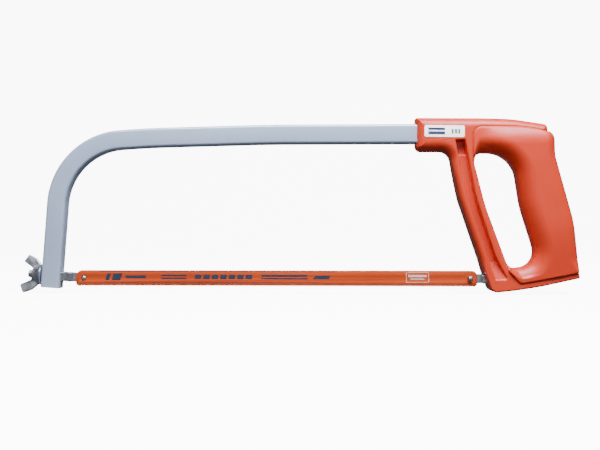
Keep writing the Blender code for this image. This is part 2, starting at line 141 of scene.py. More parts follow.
def rounded_points(corners, step_degrees=6.0):
    """Points round a closed outline whose corners are replaced by arcs of the given radii."""
    points = []
    for index, (x, z, radius) in enumerate(corners):
        here = Vector((x, z))
        before = Vector(corners[index - 1][:2])
        after = Vector(corners[(index + 1) % len(corners)][:2])
        back = (before - here).normalized()
        ahead = (after - here).normalized()
        opening = back.angle(ahead)
        reach = radius / math.tan(opening / 2)
        centre = here + (back + ahead).normalized() * (radius / math.sin(opening / 2))
        start = here + back * reach - centre
        turn = math.pi - opening
        if back.cross(ahead) > 0:
            turn = -turn
        steps = max(1, round(abs(math.degrees(turn)) / step_degrees))
        for step in range(steps + 1):
            points.append(centre + Matrix.Rotation(turn * step / steps, 2) @ start)
    return points


class Outline:
    """Signed distance to a closed outline, negative inside, kept on a fine grid and read back smoothly."""

    def __init__(self, points, margin=8.0, step=0.4):
        loop = np.array([(p[0], p[1]) for p in points], dtype=np.float64)
        self.step = step
        self.low = loop.min(axis=0) - margin
        count = np.ceil((loop.max(axis=0) + margin - self.low) / step).astype(int) + 1
        across = self.low[0] + np.arange(count[0]) * step
        up = self.low[1] + np.arange(count[1]) * step
        grid_x, grid_z = np.meshgrid(across, up, indexing="ij")
        nearest = np.full(grid_x.shape, 1e9)
        inside = np.zeros(grid_x.shape, dtype=bool)
        for start, end in zip(loop, np.roll(loop, -1, axis=0)):
            run = end - start
            length2 = max(run @ run, 1e-12)
            part = np.clip(((grid_x - start[0]) * run[0] + (grid_z - start[1]) * run[1]) / length2, 0, 1)
            away = (grid_x - start[0] - part * run[0]) ** 2 + (grid_z - start[1] - part * run[1]) ** 2
            nearest = np.minimum(nearest, away)
            if start[1] != end[1]:
                crosses = (grid_z > min(start[1], end[1])) & (grid_z <= max(start[1], end[1]))
                at_x = start[0] + (grid_z - start[1]) * run[0] / run[1]
                inside ^= crosses & (grid_x < at_x)
        self.grid = np.where(inside, -1, 1) * np.sqrt(nearest)

    def __call__(self, x, z):
        u = np.clip((x - self.low[0]) / self.step, 0, self.grid.shape[0] - 1.001)
        v = np.clip((z - self.low[1]) / self.step, 0, self.grid.shape[1] - 1.001)
        i = u.astype(int)
        j = v.astype(int)
        u = u - i
        v = v - j
        g = self.grid
        return (g[i, j] * (1 - u) * (1 - v) + g[i + 1, j] * u * (1 - v)
                + g[i, j + 1] * (1 - u) * v + g[i + 1, j + 1] * u * v)


def meet(a, b, radius):
    """Common part of two shapes, whose shared edge is rounded to a radius."""
    u = a + radius
    v = b + radius
    return np.minimum(np.maximum(u, v), 0) + np.hypot(np.maximum(u, 0), np.maximum(v, 0)) - radius


def fuse(a, b, radius):
    """Both shapes, with a fillet of the given radius between them."""
    return -meet(-a, -b, radius)


def ease(low, high, value):
    t = np.clip((value - low) / (high - low), 0, 1)
    return t * t * (3 - 2 * t)


CELL_CORNERS = [(i, j, k) for i in (0, 1) for j in (0, 1) for k in (0, 1)]


def skin_field(field, low, high, step, name, matrix=Matrix.Identity(4)):
    """Mesh of the surface where field(x, y, z) is zero, by surface nets, then moved onto the exact surface.

    Its shading follows the field's own slope. The matrix moves the finished mesh into place.
    """
    low = np.array(low, dtype=np.float64)
    count = np.ceil((np.array(high) - low) / step).astype(int) + 1
    axes = [low[n] + np.arange(count[n]) * step for n in range(3)]
    values = np.empty(count, dtype=np.float32)
    for slab in range(count[0]):
        y, z = np.meshgrid(axes[1], axes[2], indexing="ij")
        values[slab] = field(np.full(y.shape, axes[0][slab]), y, z)
    inside = values < 0
    cells = tuple(n - 1 for n in count)
    full = np.zeros(cells, dtype=np.int8)
    for i, j, k in CELL_CORNERS:
        full += inside[i:i + cells[0], j:j + cells[1], k:k + cells[2]]
    active = (full > 0) & (full < 8)
    index = np.full(cells, -1, dtype=np.int64)
    index[active] = np.arange(active.sum())
    where = np.argwhere(active)
    total = np.zeros((len(where), 3))
    hits = np.zeros(len(where))
    for first in CELL_CORNERS:
        for axis in range(3):
            if first[axis] == 1:
                continue
            second = tuple(c + (n == axis) for n, c in enumerate(first))
            a = values[tuple((where + first).T)]
            b = values[tuple((where + second).T)]
            crossed = (a < 0) != (b < 0)
            t = np.where(crossed, a / np.where(crossed, a - b, 1), 0)
            place = np.array(first, dtype=np.float64)[None, :] + np.zeros((len(where), 3))
            place[:, axis] += t
            total += place * crossed[:, None]
            hits += crossed
    points = low + (where + total / hits[:, None]) * step
    quads = [edge_quads(inside, index, axis) for axis in range(3)]
    points = settle(field, points, step)
    mesh = bpy.data.meshes.new(name)
    mesh.from_pydata((points * MM).tolist(), [], np.concatenate(quads).tolist())
    mesh.shade_smooth()
    mesh.transform(matrix)
    turned = slope_at(field, points, step * 0.25) @ np.array(matrix.to_3x3().transposed())
    mesh.normals_split_custom_set_from_vertices(turned / np.linalg.norm(turned, axis=1)[:, None])
    return mesh


def edge_quads(inside, index, axis):
    """One quad round each grid edge along the axis that crosses the surface, facing outwards."""
    a = [slice(None)] * 3
    b = [slice(None)] * 3
    a[axis] = slice(0, -1)
    b[axis] = slice(1, None)
    enters = inside[tuple(a)] & ~inside[tuple(b)]
    leaves = ~inside[tuple(a)] & inside[tuple(b)]
    p, q = [(1, 2), (2, 0), (0, 1)][axis]
    result = []
    outward = ((1, 1), (0, 1), (0, 0), (1, 0))
    inward = ((1, 1), (1, 0), (0, 0), (0, 1))
    for crossing, order in ((enters, outward), (leaves, inward)):
        at = np.argwhere(crossing)
        at = at[(at[:, p] > 0) & (at[:, q] > 0) & (at[:, p] < index.shape[p]) & (at[:, q] < index.shape[q])]
        corners = []
        for back_p, back_q in order:
            cell = at.copy()
            cell[:, p] -= back_p
            cell[:, q] -= back_q
            corners.append(index[tuple(cell.T)])
        result.append(np.stack(corners, axis=1))
    return np.concatenate(result)


def slope_at(field, points, nudge):
    x, y, z = points.T
    return np.stack([field(x + nudge, y, z) - field(x - nudge, y, z),
                     field(x, y + nudge, z) - field(x, y - nudge, z),
                     field(x, y, z + nudge) - field(x, y, z - nudge)], axis=1) / (2 * nudge)


def settle(field, points, step):
    """Slide each point along the slope until it lies on the surface, and never further than half a cell."""
    nudge = step * 0.25
    start = points.copy()
    for _ in range(3):
        x, y, z = points.T
        value = field(x, y, z)
        slope = slope_at(field, points, nudge)
        size = np.maximum((slope ** 2).sum(axis=1), 0.05)
        points = points - slope * (value / size)[:, None]
        points = start + np.clip(points - start, -0.5 * step, 0.5 * step)
    return points


# ---------- mesh helpers ----------

def new_piece(name, mesh, material, body, replaced=None, matrix=None):
    piece = bpy.data.objects.new(name, mesh)
    bpy.context.scene.collection.objects.link(piece)
    if matrix is not None:
        mesh.transform(matrix)
    mesh.materials.clear()
    mesh.materials.append(material)
    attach(piece, body)
    if replaced:
        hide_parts(replaced)
    return piece


def mesh_from(name, maker, sharp_degrees=35.0):
    bmesh.ops.recalc_face_normals(maker, faces=maker.faces)
    mesh = bpy.data.meshes.new(name)
    maker.to_mesh(mesh)
    maker.free()
    mesh.shade_smooth()
    mesh.set_sharp_from_angle(angle=math.radians(sharp_degrees))
    return mesh


def baked(piece_mesh, name, *modifiers):
    """The mesh after modifiers given as (type, settings)."""
    holder = bpy.data.objects.new(name + "_work", piece_mesh)
    bpy.context.scene.collection.objects.link(holder)
    for kind, settings in modifiers:
        modifier = holder.modifiers.new(kind.lower(), kind)
        for key, value in settings.items():
            setattr(modifier, key, value)
    bpy.context.view_layer.update()
    graph = bpy.context.evaluated_depsgraph_get()
    mesh = bpy.data.meshes.new_from_object(holder.evaluated_get(graph))
    mesh.name = name
    bpy.data.objects.remove(holder)
    return mesh


def frame_at(distance):
    """A frame at a distance in mm along the front holder's axis from its peg: its Z runs along the axis."""
    along = Vector((math.cos(LEG_LEAN), 0, -math.sin(LEG_LEAN)))
    place = (Vector((FRONT_PEG_X, 0, HOLE_LINE_Z)) + along * distance) * MM
    return Matrix.Translation(place) @ Matrix.Rotation(math.pi / 2 + LEG_LEAN, 4, "Y")


def flat_piece_mesh(name, loops, half_thickness, bevel, middle_y, sharp=35.0):
    """Outlines in X and Z (the first outside, the rest holes), thickened along Y with softened rims."""
    curve = bpy.data.curves.new(name, "CURVE")
    curve.dimensions = "2D"
    curve.fill_mode = "BOTH"
    curve.extrude = half_thickness * MM
    for loop in loops:
        spline = curve.splines.new("POLY")
        spline.points.add(len(loop) - 1)
        spline.use_cyclic_u = True
        for target, point in zip(spline.points, loop):
            target.co = (point[0] * MM, point[1] * MM, 0.0, 1.0)
    holder = bpy.data.objects.new(name, curve)
    bpy.context.scene.collection.objects.link(holder)
    bpy.context.view_layer.update()
    graph = bpy.context.evaluated_depsgraph_get()
    mesh = bpy.data.meshes.new_from_object(holder.evaluated_get(graph))
    bpy.data.objects.remove(holder)
    maker = bmesh.new()
    maker.from_mesh(mesh)
    bmesh.ops.remove_doubles(maker, verts=maker.verts, dist=0.000002)
    bmesh.ops.dissolve_limit(maker, angle_limit=0.001, verts=maker.verts, edges=maker.edges)
    if bevel:
        rims = [edge for edge in maker.edges if edge.is_manifold and edge.calc_face_angle(0) > 0.8
                and abs((edge.verts[0].co - edge.verts[1].co).normalized().z) < 0.1]
        bmesh.ops.bevel(maker, geom=rims, offset=bevel * MM, segments=2, profile=0.5, affect="EDGES",
                        clamp_overlap=True)
    upright = Matrix.Translation((0, middle_y * MM, 0)) @ Matrix.Rotation(math.pi / 2, 4, "X")
    bmesh.ops.transform(maker, verts=maker.verts, matrix=upright)
    return mesh_from(name, maker, sharp)


def circle_points(x, z, radius, count=40):
    return [(x + radius * math.cos(2 * math.pi * n / count), z + radius * math.sin(2 * math.pi * n / count))
            for n in range(count)]


# ---------- materials ----------

class Nodes:
    """Short way to wire a material: make() adds a node, and its inputs take values or other outputs."""

    def __init__(self, name):
        self.material = bpy.data.materials.new(name)
        self.material.use_nodes = True
        self.tree = self.material.node_tree
        self.shader = self.tree.nodes["Principled BSDF"]

    def make(self, kind, output=0, **settings):
        node = self.tree.nodes.new("ShaderNode" + kind)
        inputs = settings.pop("inputs", {})
        for key, value in settings.items():
            setattr(node, key, value)
        for key, value in inputs.items():
            self.feed(node.inputs[key], value)
        return node.outputs[output]

    def feed(self, socket, value):
        if isinstance(value, bpy.types.NodeSocket):
            self.tree.links.new(value, socket)
        else:
            socket.default_value = value

    def set(self, **inputs):
        for key, value in inputs.items():
            self.feed(self.shader.inputs[key.replace("_", " ")], value)
        return self.material

    def place(self, scale=(1, 1, 1)):
        coordinates = self.make("TexCoord", output="Object")
        return self.make("Mapping", inputs={"Vector": coordinates, "Scale": scale})

    def noise(self, scale, detail=4.0, roughness=0.5, stretch=(1, 1, 1)):
        return self.make("TexNoise", output=0, inputs={
            "Vector": self.place(stretch), "Scale": scale, "Detail": detail, "Roughness": roughness})

    def ramp(self, value, low, high, at=(0.0, 1.0)):
        return self.make("MapRange", inputs={0: value, 1: at[0], 2: at[1], 3: low, 4: high})

    def mix(self, factor, first, second):
        node = self.tree.nodes.new("ShaderNodeMix")
        node.data_type = "RGBA"
        self.feed(node.inputs[0], factor)
        self.feed(node.inputs[6], first)
        self.feed(node.inputs[7], second)
        return node.outputs[2]

    def bump(self, height, strength, distance, normal=None):
        inputs = {"Height": height, "Strength": strength, "Distance": distance}
        if normal is not None:
            inputs["Normal"] = normal
        return self.make("Bump", inputs=inputs)

    def patches(self, noise, first, second):
        """Soft patches of two colours, split by a noise."""
        return self.mix(self.ramp(noise, 0.0, 1.0, at=(0.35, 0.65)), first, second)

    def edge_wear(self, amount, base, worn):
        """The base colour, worn to another on convex edges, which the mesh's own curvature tells."""
        edges = self.ramp(self.make("NewGeometry", output="Pointiness"), 0.0, 1.0, at=(0.52, 0.62))
        return self.mix(self.make("Math", operation="MULTIPLY", inputs={0: edges, 1: amount}), base, worn)


def enamel_material():
    nodes = Nodes("handle_enamel")
    blotches = nodes.noise(14.0, 3.0)
    fine = nodes.noise(260.0, 3.0)
    orange_peel = nodes.noise(620.0, 2.0)
    base = nodes.patches(blotches, (0.640, 0.042, 0.012, 1), (0.690, 0.050, 0.015, 1))
    worn = nodes.edge_wear(0.25, base, (0.740, 0.080, 0.030, 1))
    roughness = nodes.ramp(fine, 0.34, 0.44, at=(0.3, 0.7))
    normal = nodes.bump(orange_peel, 0.05, 0.0001, nodes.bump(fine, 0.05, 0.0003))
    return nodes.set(Base_Color=worn, Roughness=roughness, Normal=normal, Coat_Weight=0.15,
                     Coat_Roughness=0.25, Specular_IOR_Level=0.5, Specular_Tint=(1.0, 0.72, 0.92, 1.0))


def satin_metal_material():
    nodes = Nodes("bow_metal")
    clouds = nodes.noise(9.0, 3.0)
    brushed = nodes.noise(90.0, 5.0, 0.65, stretch=(0.25, 1, 1))
    grain = nodes.noise(900.0, 2.0)
    base = nodes.patches(clouds, (0.455, 0.545, 0.745, 1), (0.50, 0.595, 0.79, 1))
    bright = nodes.edge_wear(0.4, base, (0.70, 0.75, 0.84, 1))
    roughness = nodes.ramp(brushed, 0.36, 0.48, at=(0.3, 0.7))
    normal = nodes.bump(grain, 0.04, 0.0001, nodes.bump(brushed, 0.04, 0.0003))
    return nodes.set(Base_Color=bright, Metallic=0.35, Roughness=roughness, Normal=normal)


def zinc_material():
    nodes = Nodes("bright_zinc")
    clouds = nodes.noise(180.0, 4.0)
    grain = nodes.noise(1500.0, 2.0)
    base = nodes.patches(clouds, (0.44, 0.46, 0.51, 1), (0.62, 0.64, 0.69, 1))
    bright = nodes.edge_wear(0.5, base, (0.80, 0.81, 0.84, 1))
    roughness = nodes.ramp(clouds, 0.24, 0.42, at=(0.3, 0.7))
    normal = nodes.bump(grain, 0.06, 0.00008, nodes.bump(clouds, 0.12, 0.0003))
    return nodes.set(Base_Color=bright, Metallic=0.95, Roughness=roughness, Normal=normal)


def blade_material(name, low, high, bare_below):
    """Thin paint with rolled grain along the blade; below a height the paint has worn to steel."""
    nodes = Nodes(name)
    rolled = nodes.noise(120.0, 5.0, 0.6, stretch=(0.08, 1, 1))
    speckle = nodes.noise(1400.0, 2.0)
    clouds = nodes.noise(11.0, 2.0)
    base = nodes.patches(clouds, low, high)
    position = nodes.make("TexCoord", output="Object")
    height = nodes.make("SeparateXYZ", output=2, inputs={0: position})
    rub = nodes.ramp(speckle, -0.0003, 0.0003, at=(0.3, 0.7))
    edge = nodes.make("Math", operation="ADD", inputs={0: height, 1: rub})
    bare = nodes.ramp(edge, 1.0, 0.0, at=((bare_below - 0.35) * MM, (bare_below + 0.15) * MM))
    colour = nodes.mix(bare, base, (0.62, 0.56, 0.53, 1))
    roughness = nodes.ramp(rolled, 0.34, 0.48, at=(0.3, 0.7))
    normal = nodes.bump(speckle, 0.05, 0.00006, nodes.bump(rolled, 0.08, 0.0002))
    return nodes.set(Base_Color=colour, Metallic=nodes.ramp(bare, 0.0, 0.8), Roughness=roughness,
                     Normal=normal, Specular_IOR_Level=0.3)


def ink_material(name, colour, shade):
    nodes = Nodes(name)
    patches = nodes.noise(900.0, 3.0)
    base = nodes.patches(patches, colour, shade)
    return nodes.set(Base_Color=base, Roughness=nodes.ramp(patches, 0.35, 0.5),
                     Normal=nodes.bump(patches, 0.05, 0.00005))


def label_material():
    nodes = Nodes("label_white")
    fibre = nodes.noise(700.0, 5.0)
    clouds = nodes.noise(40.0, 2.0)
    base = nodes.patches(clouds, (0.80, 0.83, 0.88, 1), (0.87, 0.88, 0.90, 1))
    # The emission is painted glare: the label glows by LABEL_GLOW so it looks as bright as glare on it would.
    return nodes.set(Base_Color=base, Roughness=nodes.ramp(fibre, 0.3, 0.42), Coat_Weight=0.25,
                     Normal=nodes.bump(fibre, 0.06, 0.00006), Emission_Color=(1.0, 1.0, 1.0, 1.0),
                     Emission_Strength=LABEL_GLOW)


def plug_material():
    nodes = Nodes("plug_black")
    grain = nodes.noise(800.0, 4.0)
    base = nodes.mix(grain, (0.020, 0.020, 0.022, 1), (0.045, 0.045, 0.048, 1))
    return nodes.set(Base_Color=base, Roughness=nodes.ramp(grain, 0.45, 0.65),
                     Normal=nodes.bump(grain, 0.2, 0.0001))


# ---------- handle ----------

def make_handle(material):
    frame_outline = Outline(rounded_points(FRAME_OUTLINE))
    finger_hole = Outline(rounded_points(FINGER_HOLE), margin=30.0)
    grip_outline = Outline(rounded_points(GRIP_OUTLINE), margin=20.0)
    channel = Outline(rounded_points(CHANNEL))
    tube_gap = 0.12
    shank_gap = 0.15
    shank_room_middle = 111.0
    shank_room_half = 21.6
    pin_hole_radius = 1.65

    def plate(x, y, z, crease):
        """Socket, top rail, strut and foot: the rims are softest on the socket and crispest on the foot."""
        rim = 3.8 + 4.2 * ease(-26.0, -4.0, z) - 2.4 * ease(-88.0, -99.0, z)
        return meet(np.abs(y) - PLATE_HALF + crease, frame_outline(x, z), rim)

    def cushion(x, y, z, outer):
        """The raised grip: a low step at its edge, thickest in its middle, thinner towards its four ends."""
        above = 1.0 - np.clip((12.3 - z) / 14.0, 0.0, 1.0)
        fullness = (1.0 - above ** 2) * ease(96.0, 128.0, x) * ease(-124.0, -56.0, z)
        half = GRIP_STEP_HALF + (GRIP_HALF - GRIP_STEP_HALF) * fullness
        palm = ease(146.0, 158.0, x) * ease(11.0, 0.0, z) * ease(-101.0, -88.0, z)
        return meet(np.abs(y) - half, outer, 0.9 + 8.1 * palm)

    def channel_room(x, y, z):
        """Recess in each side of the strut: a pocket at the top, a long web, and a ramp up to the foot."""
        web = 4.4 - 1.9 * ease(-9.1, -7.9, z)
        ramp = 3.9 * np.clip((-90.6 - z) / 12.3, 0.0, 1.0)
        drafted = channel(x, z) + 0.12 * np.clip(PLATE_HALF - np.abs(y), 0.0, 5.2)
        return meet(drafted, web + ramp - np.abs(y), 0.8)

    def casting(x, y, z):
        outer = grip_outline(x, z)
        crease = 0.45 * np.exp(-((outer - 0.3) / 0.6) ** 2)
        solid = meet(plate(x, y, z, crease), -channel_room(x, y, z), 0.9)
        solid = fuse(solid, cushion(x, y, z, outer), 0.3)
        solid = meet(solid, -finger_hole(x, z), 3.4 + 9.0 * ease(0.5, -5.5, outer))
        half_y = TUBE_THICKNESS / 2 + tube_gap
        half_z = TUBE_HEIGHT / 2 + tube_gap
        socket = np.maximum(np.abs(y) - half_y, np.abs(z - BAR_Z) - half_z)
        socket = np.maximum(socket, x - (BAR_END_X + 0.5))
        half = SHANK / 2 + shank_gap
        shank = np.maximum(np.abs(y) - half, np.abs(z - HOLE_LINE_Z) - half)
        shank = np.maximum(shank, np.abs(x - shank_room_middle) - shank_room_half)
        pin = np.maximum(np.hypot(x - RETAINING_PIN_X, y) - pin_hole_radius, z - (HOLE_LINE_Z + 6.0))
        return np.maximum(np.maximum(solid, -socket), np.maximum(-shank, -pin))

    step = 0.55
    mesh = skin_field(casting, (55.6, -16.2, -117.0), (185.0, 16.2, 22.0), step, "handle_casting")
    new_piece("handle_casting", mesh, material, "frame", "handle")


# ---------- bow ----------

def bow_path():
    leg_up = Vector((math.sin(LEG_LEAN), math.cos(LEG_LEAN)))
    axis = Vector((math.cos(LEG_LEAN), -math.sin(LEG_LEAN)))
    foot = Vector((FRONT_PEG_X, HOLE_LINE_Z)) - axis * LEG_DISTANCE - leg_up * LEG_FOOT_DROP
    end = Vector((BAR_END_X, BAR_Z))
    turns = [(*end, 0.01)]
    slope = 0.0
    for x, radius, next_slope in BAR_KNEES:
        last_x, last_z = turns[0][:2]
        turns.insert(0, (x, last_z - (last_x - x) * math.tan(slope), radius))
        slope = next_slope
    knee = Vector(turns[0][:2])
    bar = Vector((math.cos(slope), math.sin(slope)))
    offset = knee - foot
    reach = (offset.x * bar.y - offset.y * bar.x) / (leg_up.x * bar.y - leg_up.y * bar.x)
    corner = foot + leg_up * reach
    bent = rounded_points([(*foot, 0.01), (*corner, BEND_RADIUS), *turns], 1.5)
    bend = [point for point in bent if (point - foot).length > 1 and (point - end).length > 1]
    return [foot, *bend, end]


def spread(path, longest):
    """The path with extra points, so that no step is longer than given."""
    result = [path[0]]
    for start, end in zip(path, path[1:]):
        steps = max(1, math.ceil((end - start).length / longest))
        for step in range(1, steps + 1):
            result.append(start.lerp(end, step / steps))
    return result


def make_bow(material):
    half_h = TUBE_HEIGHT / 2
    half_t = TUBE_THICKNESS / 2
    section = rounded_points([(half_t, half_h, TUBE_CORNER), (-half_t, half_h, TUBE_CORNER),
                              (-half_t, -half_h, TUBE_CORNER), (half_t, -half_h, TUBE_CORNER)], 12.0)
    path = spread(bow_path(), 6.0)
    maker = bmesh.new()
    rings = []
    for index, point in enumerate(path):
        ahead = (path[min(index + 1, len(path) - 1)] - path[max(index - 1, 0)]).normalized()
        side = Vector((-ahead.y, ahead.x))
        ring = []
        for across, height in section:
            place = point + side * height
            ring.append(maker.verts.new((place.x * MM, across * MM, place.y * MM)))
        rings.append(ring)
    for first, second in zip(rings, rings[1:]):
        for index in range(len(section)):
            after = (index + 1) % len(section)
            maker.faces.new((first[index], first[after], second[after], second[index]))
    skin = mesh_from("bow_skin", maker)
    # Each cutter goes through one wall of the leg only
    cut_length = 12.0
    square = cutter_box("square_hole", (SHANK + 0.3, SHANK + 0.3, cut_length), frame_at(-20.0))
    round_hole = cutter_rod("round_hole", THREAD_RADIUS + 0.2, cut_length, frame_at(-31.0))
    mesh = baked(skin, "bow_tube_fine",
                 ("SOLIDIFY", {"thickness": TUBE_WALL * MM, "offset": -1.0}),
                 ("BOOLEAN", {"operation": "DIFFERENCE", "object": square}),
                 ("BOOLEAN", {"operation": "DIFFERENCE", "object": round_hole}))
    bpy.data.objects.remove(square)
    bpy.data.objects.remove(round_hole)
    mesh.shade_smooth()
    mesh.set_sharp_from_angle(angle=math.radians(35))
    new_piece("bow_tube_fine", mesh, material, "frame", "bow_tube")


def cutter_box(name, size, matrix):
    maker = bmesh.new()
    bmesh.ops.create_cube(maker, size=1.0)
    bmesh.ops.scale(maker, vec=[side * MM for side in size], verts=maker.verts)
    return cutter(name, maker, matrix)


def cutter_rod(name, radius, length, matrix):
    maker = bmesh.new()
    bmesh.ops.create_cone(maker, cap_ends=True, segments=48, radius1=radius * MM, radius2=radius * MM,
                          depth=length * MM)
    return cutter(name, maker, matrix)


def cutter(name, maker, matrix):
    bmesh.ops.transform(maker, verts=maker.verts, matrix=matrix)
    mesh = mesh_from(name, maker)
    holder = bpy.data.objects.new(name, mesh)
    bpy.context.scene.collection.objects.link(holder)
    return holder


# ---------- holders ----------

def make_front_holder(material):
    """Square shank, half-thickness tab and a grooved tail, in the frame whose Z runs along the axis."""

    def tail_radius(x, y, z):
        turn = np.arctan2(y, x) / (2 * math.pi)
        wave = np.abs(((z / THREAD_PITCH + turn) % 1.0) * 2 - 1)
        groove = 0.58 * ease(0.12, 0.88, wave)
        threaded = ease(FRONT_SQUARE_START + 0.5, FRONT_SQUARE_START - 1.0, z)
        return THREAD_RADIUS - groove * threaded

    def holder(x, y, z):
        square = meet(np.abs(x) - SHANK / 2, np.abs(y) - SHANK / 2, 0.7)
        shank = meet(square, np.abs(z - (FRONT_TAB_START + FRONT_SQUARE_START) / 2)
                     - (FRONT_TAB_START - FRONT_SQUARE_START) / 2, 0.5)
        tab_end = np.hypot(x, np.maximum(z - (TAB_HALF_LENGTH - SHANK / 2), 0)) - SHANK / 2
        tab = meet(np.maximum(tab_end, -(z - FRONT_TAB_START + 2.0)), np.abs(y - SHANK / 4) - SHANK / 4, 0.3)
        around = np.hypot(x, y)
        tail = meet(around - tail_radius(x, y, z), FRONT_TAIL_END - z, 0.7)
        tail = np.maximum(tail, z - (FRONT_SQUARE_START + 2.0))
        hole = np.hypot(x, z) - (PEG_RADIUS + 0.03)
        return np.maximum(fuse(fuse(shank, tab, 0.4), tail, 0.3), -hole)

    mesh = skin_field(holder, (-4.4, -4.4, FRONT_TAIL_END - 0.9), (4.4, 4.4, TAB_HALF_LENGTH + 0.9),
                      0.14, "front_holder_fine", frame_at(0.0))
    new_piece("front_holder_fine", mesh, material, "front_holder", "front_holder")


def make_rear_holder(material):
    def holder(x, y, z):
        square = meet(np.abs(z) - SHANK / 2, np.abs(y) - SHANK / 2, 1.3)
        shank = meet(square, np.abs(x - (REAR_TAB_END + REAR_SHANK_END) / 2)
                     - (REAR_SHANK_END - REAR_TAB_END) / 2, 0.6)
        tab_end = np.hypot(z, np.maximum(-x - (TAB_HALF_LENGTH - SHANK / 2), 0)) - SHANK / 2
        tab = meet(np.maximum(tab_end, x - (REAR_TAB_END + 2.0)), np.abs(y - SHANK / 4) - SHANK / 4, 0.3)
        slot_x = RETAINING_PIN_X - REAR_PEG_X - SLACK / 2
        slot = np.hypot(np.maximum(np.abs(x - slot_x) - SLACK / 2, 0), y) - 1.7
        hole = np.hypot(x, z) - (PEG_RADIUS + 0.03)
        return np.maximum(fuse(shank, tab, 0.4), np.maximum(-slot, -hole))

    place = Matrix.Translation((REAR_PEG_X * MM, 0, HOLE_LINE_Z * MM))
    mesh = skin_field(holder, (-TAB_HALF_LENGTH - 0.9, -4.4, -4.4), (REAR_SHANK_END + 0.9, 4.4, 4.4),
                      0.18, "rear_holder_fine", place)
    new_piece("rear_holder_fine", mesh, material, "rear_holder", "rear_holder")


def make_peg(name, x, tip_y, body, replaced, material):
    """A turned peg with a domed tip, pressed through the tab."""
    dome = 0.8
    back = SHANK / 2 + 0.1
    profile = [(0.0, tip_y)]
    for step in range(1, 9):
        angle = math.pi / 2 * step / 8
        profile.append((PEG_RADIUS * math.sin(angle), tip_y + dome * (1 - math.cos(angle))))
    profile += [(PEG_RADIUS, back - 0.3), (PEG_RADIUS - 0.3, back), (0.0, back)]
    new_piece(name, turned_mesh(name, profile, 40), material, body, replaced,
              Matrix.Translation((x * MM, 0, HOLE_LINE_Z * MM)) @ Matrix.Rotation(-math.pi / 2, 4, "X"))


def turned_mesh(name, profile, segments):
    """A profile of (radius, height) points that starts and ends on the axis, turned round Z."""
    maker = bmesh.new()
    rings = []
    for radius, height in profile[1:-1]:
        rings.append([maker.verts.new((radius * math.cos(2 * math.pi * n / segments) * MM,
                                       radius * math.sin(2 * math.pi * n / segments) * MM, height * MM))
                      for n in range(segments)])
    first = maker.verts.new((0, 0, profile[0][1] * MM))
    last = maker.verts.new((0, 0, profile[-1][1] * MM))
    for n in range(segments):
        after = (n + 1) % segments
        maker.faces.new((first, rings[0][n], rings[0][after]))
        maker.faces.new((last, rings[-1][after], rings[-1][n]))
        for low, high in zip(rings, rings[1:]):
            maker.faces.new((low[n], low[after], high[after], high[n]))
    return mesh_from(name, maker)


# ---------- wing nut ----------

def make_wing_nut(material):
    fine = 0.15
    body_side = Outline([
        (-9, -2), (-9, NUT_HEIGHT + 2), (0, NUT_HEIGHT + 2), (0, NUT_HEIGHT), (4.7, NUT_HEIGHT),
        (5.0, NUT_HEIGHT - 0.4), (5.2, 5.2), (5.6, 3.6), (6.5, 2.4), (7.5, 1.5), (7.9, 0.7),
        (7.9, 0.15), (7.7, 0.0), (0, 0.0), (0, -2),
    ], margin=10.0, step=fine)
    wing = Outline(rounded_points([
        (3.0, 2.2, 0.3), (8.0, 2.2, 2.5), (12.6, 6.4, 5.0),
        (15.5, 13.1, 1.4), (9.2, 16.5, 1.4), (3.0, 5.3, 0.3),
    ]), margin=12.0, step=fine)

    def nut(x, y, z):
        around = np.hypot(x, y)
        turned = np.maximum(body_side(around, z), np.maximum(-z, z - NUT_HEIGHT))
        reach = np.abs(x)
        thickness = 1.55 - 0.35 * ease(6.0, 15.0, reach)
        ears = meet(wing(reach, z), np.abs(y) - thickness, 0.9)
        bore = (around - (THREAD_RADIUS + 0.12) - 0.5 * ease(0.6, 0.0, z)
                - 0.5 * ease(NUT_HEIGHT - 0.6, NUT_HEIGHT, z))
        return np.maximum(fuse(turned, ears, 1.6), -bore)

    matrix = frame_at(NUT_SEAT) @ Matrix.Rotation(math.pi, 4, "X") @ Matrix.Rotation(WING_TURN, 4, "Z")
    mesh = skin_field(nut, (-17.2, -9.0, -0.9), (17.2, 9.0, 17.2), 0.2,
                      "wing_nut_fine", matrix)
    new_piece("wing_nut_fine", mesh, material, "wing_nut", "wing_nut")


# ---------- blade ----------

def make_blade(paint, tooth_paint):
    middle_y = BLADE_NEAR_Y + BLADE_THICKNESS / 2
    outline = rounded_points([(BLADE_LEFT, BLADE_WELD, 0.05), (BLADE_LEFT, BLADE_TOP, 5.0),
                              (BLADE_RIGHT, BLADE_TOP, 4.0), (BLADE_RIGHT, BLADE_WELD, 0.05)])
    holes = [circle_points(x, HOLE_LINE_Z, BLADE_HOLE_RADIUS) for x in (FRONT_PEG_X, REAR_PEG_X)]
    back = flat_piece_mesh("blade_back_fine", [outline, *holes], BLADE_THICKNESS / 2, 0.08, middle_y)
    new_piece("blade_back_fine", back, paint, "blade", "blade_back")
    teeth = tooth_strip_mesh(middle_y)
    new_piece("blade_teeth", teeth, tooth_paint, "blade", "blade_tooth_edge")


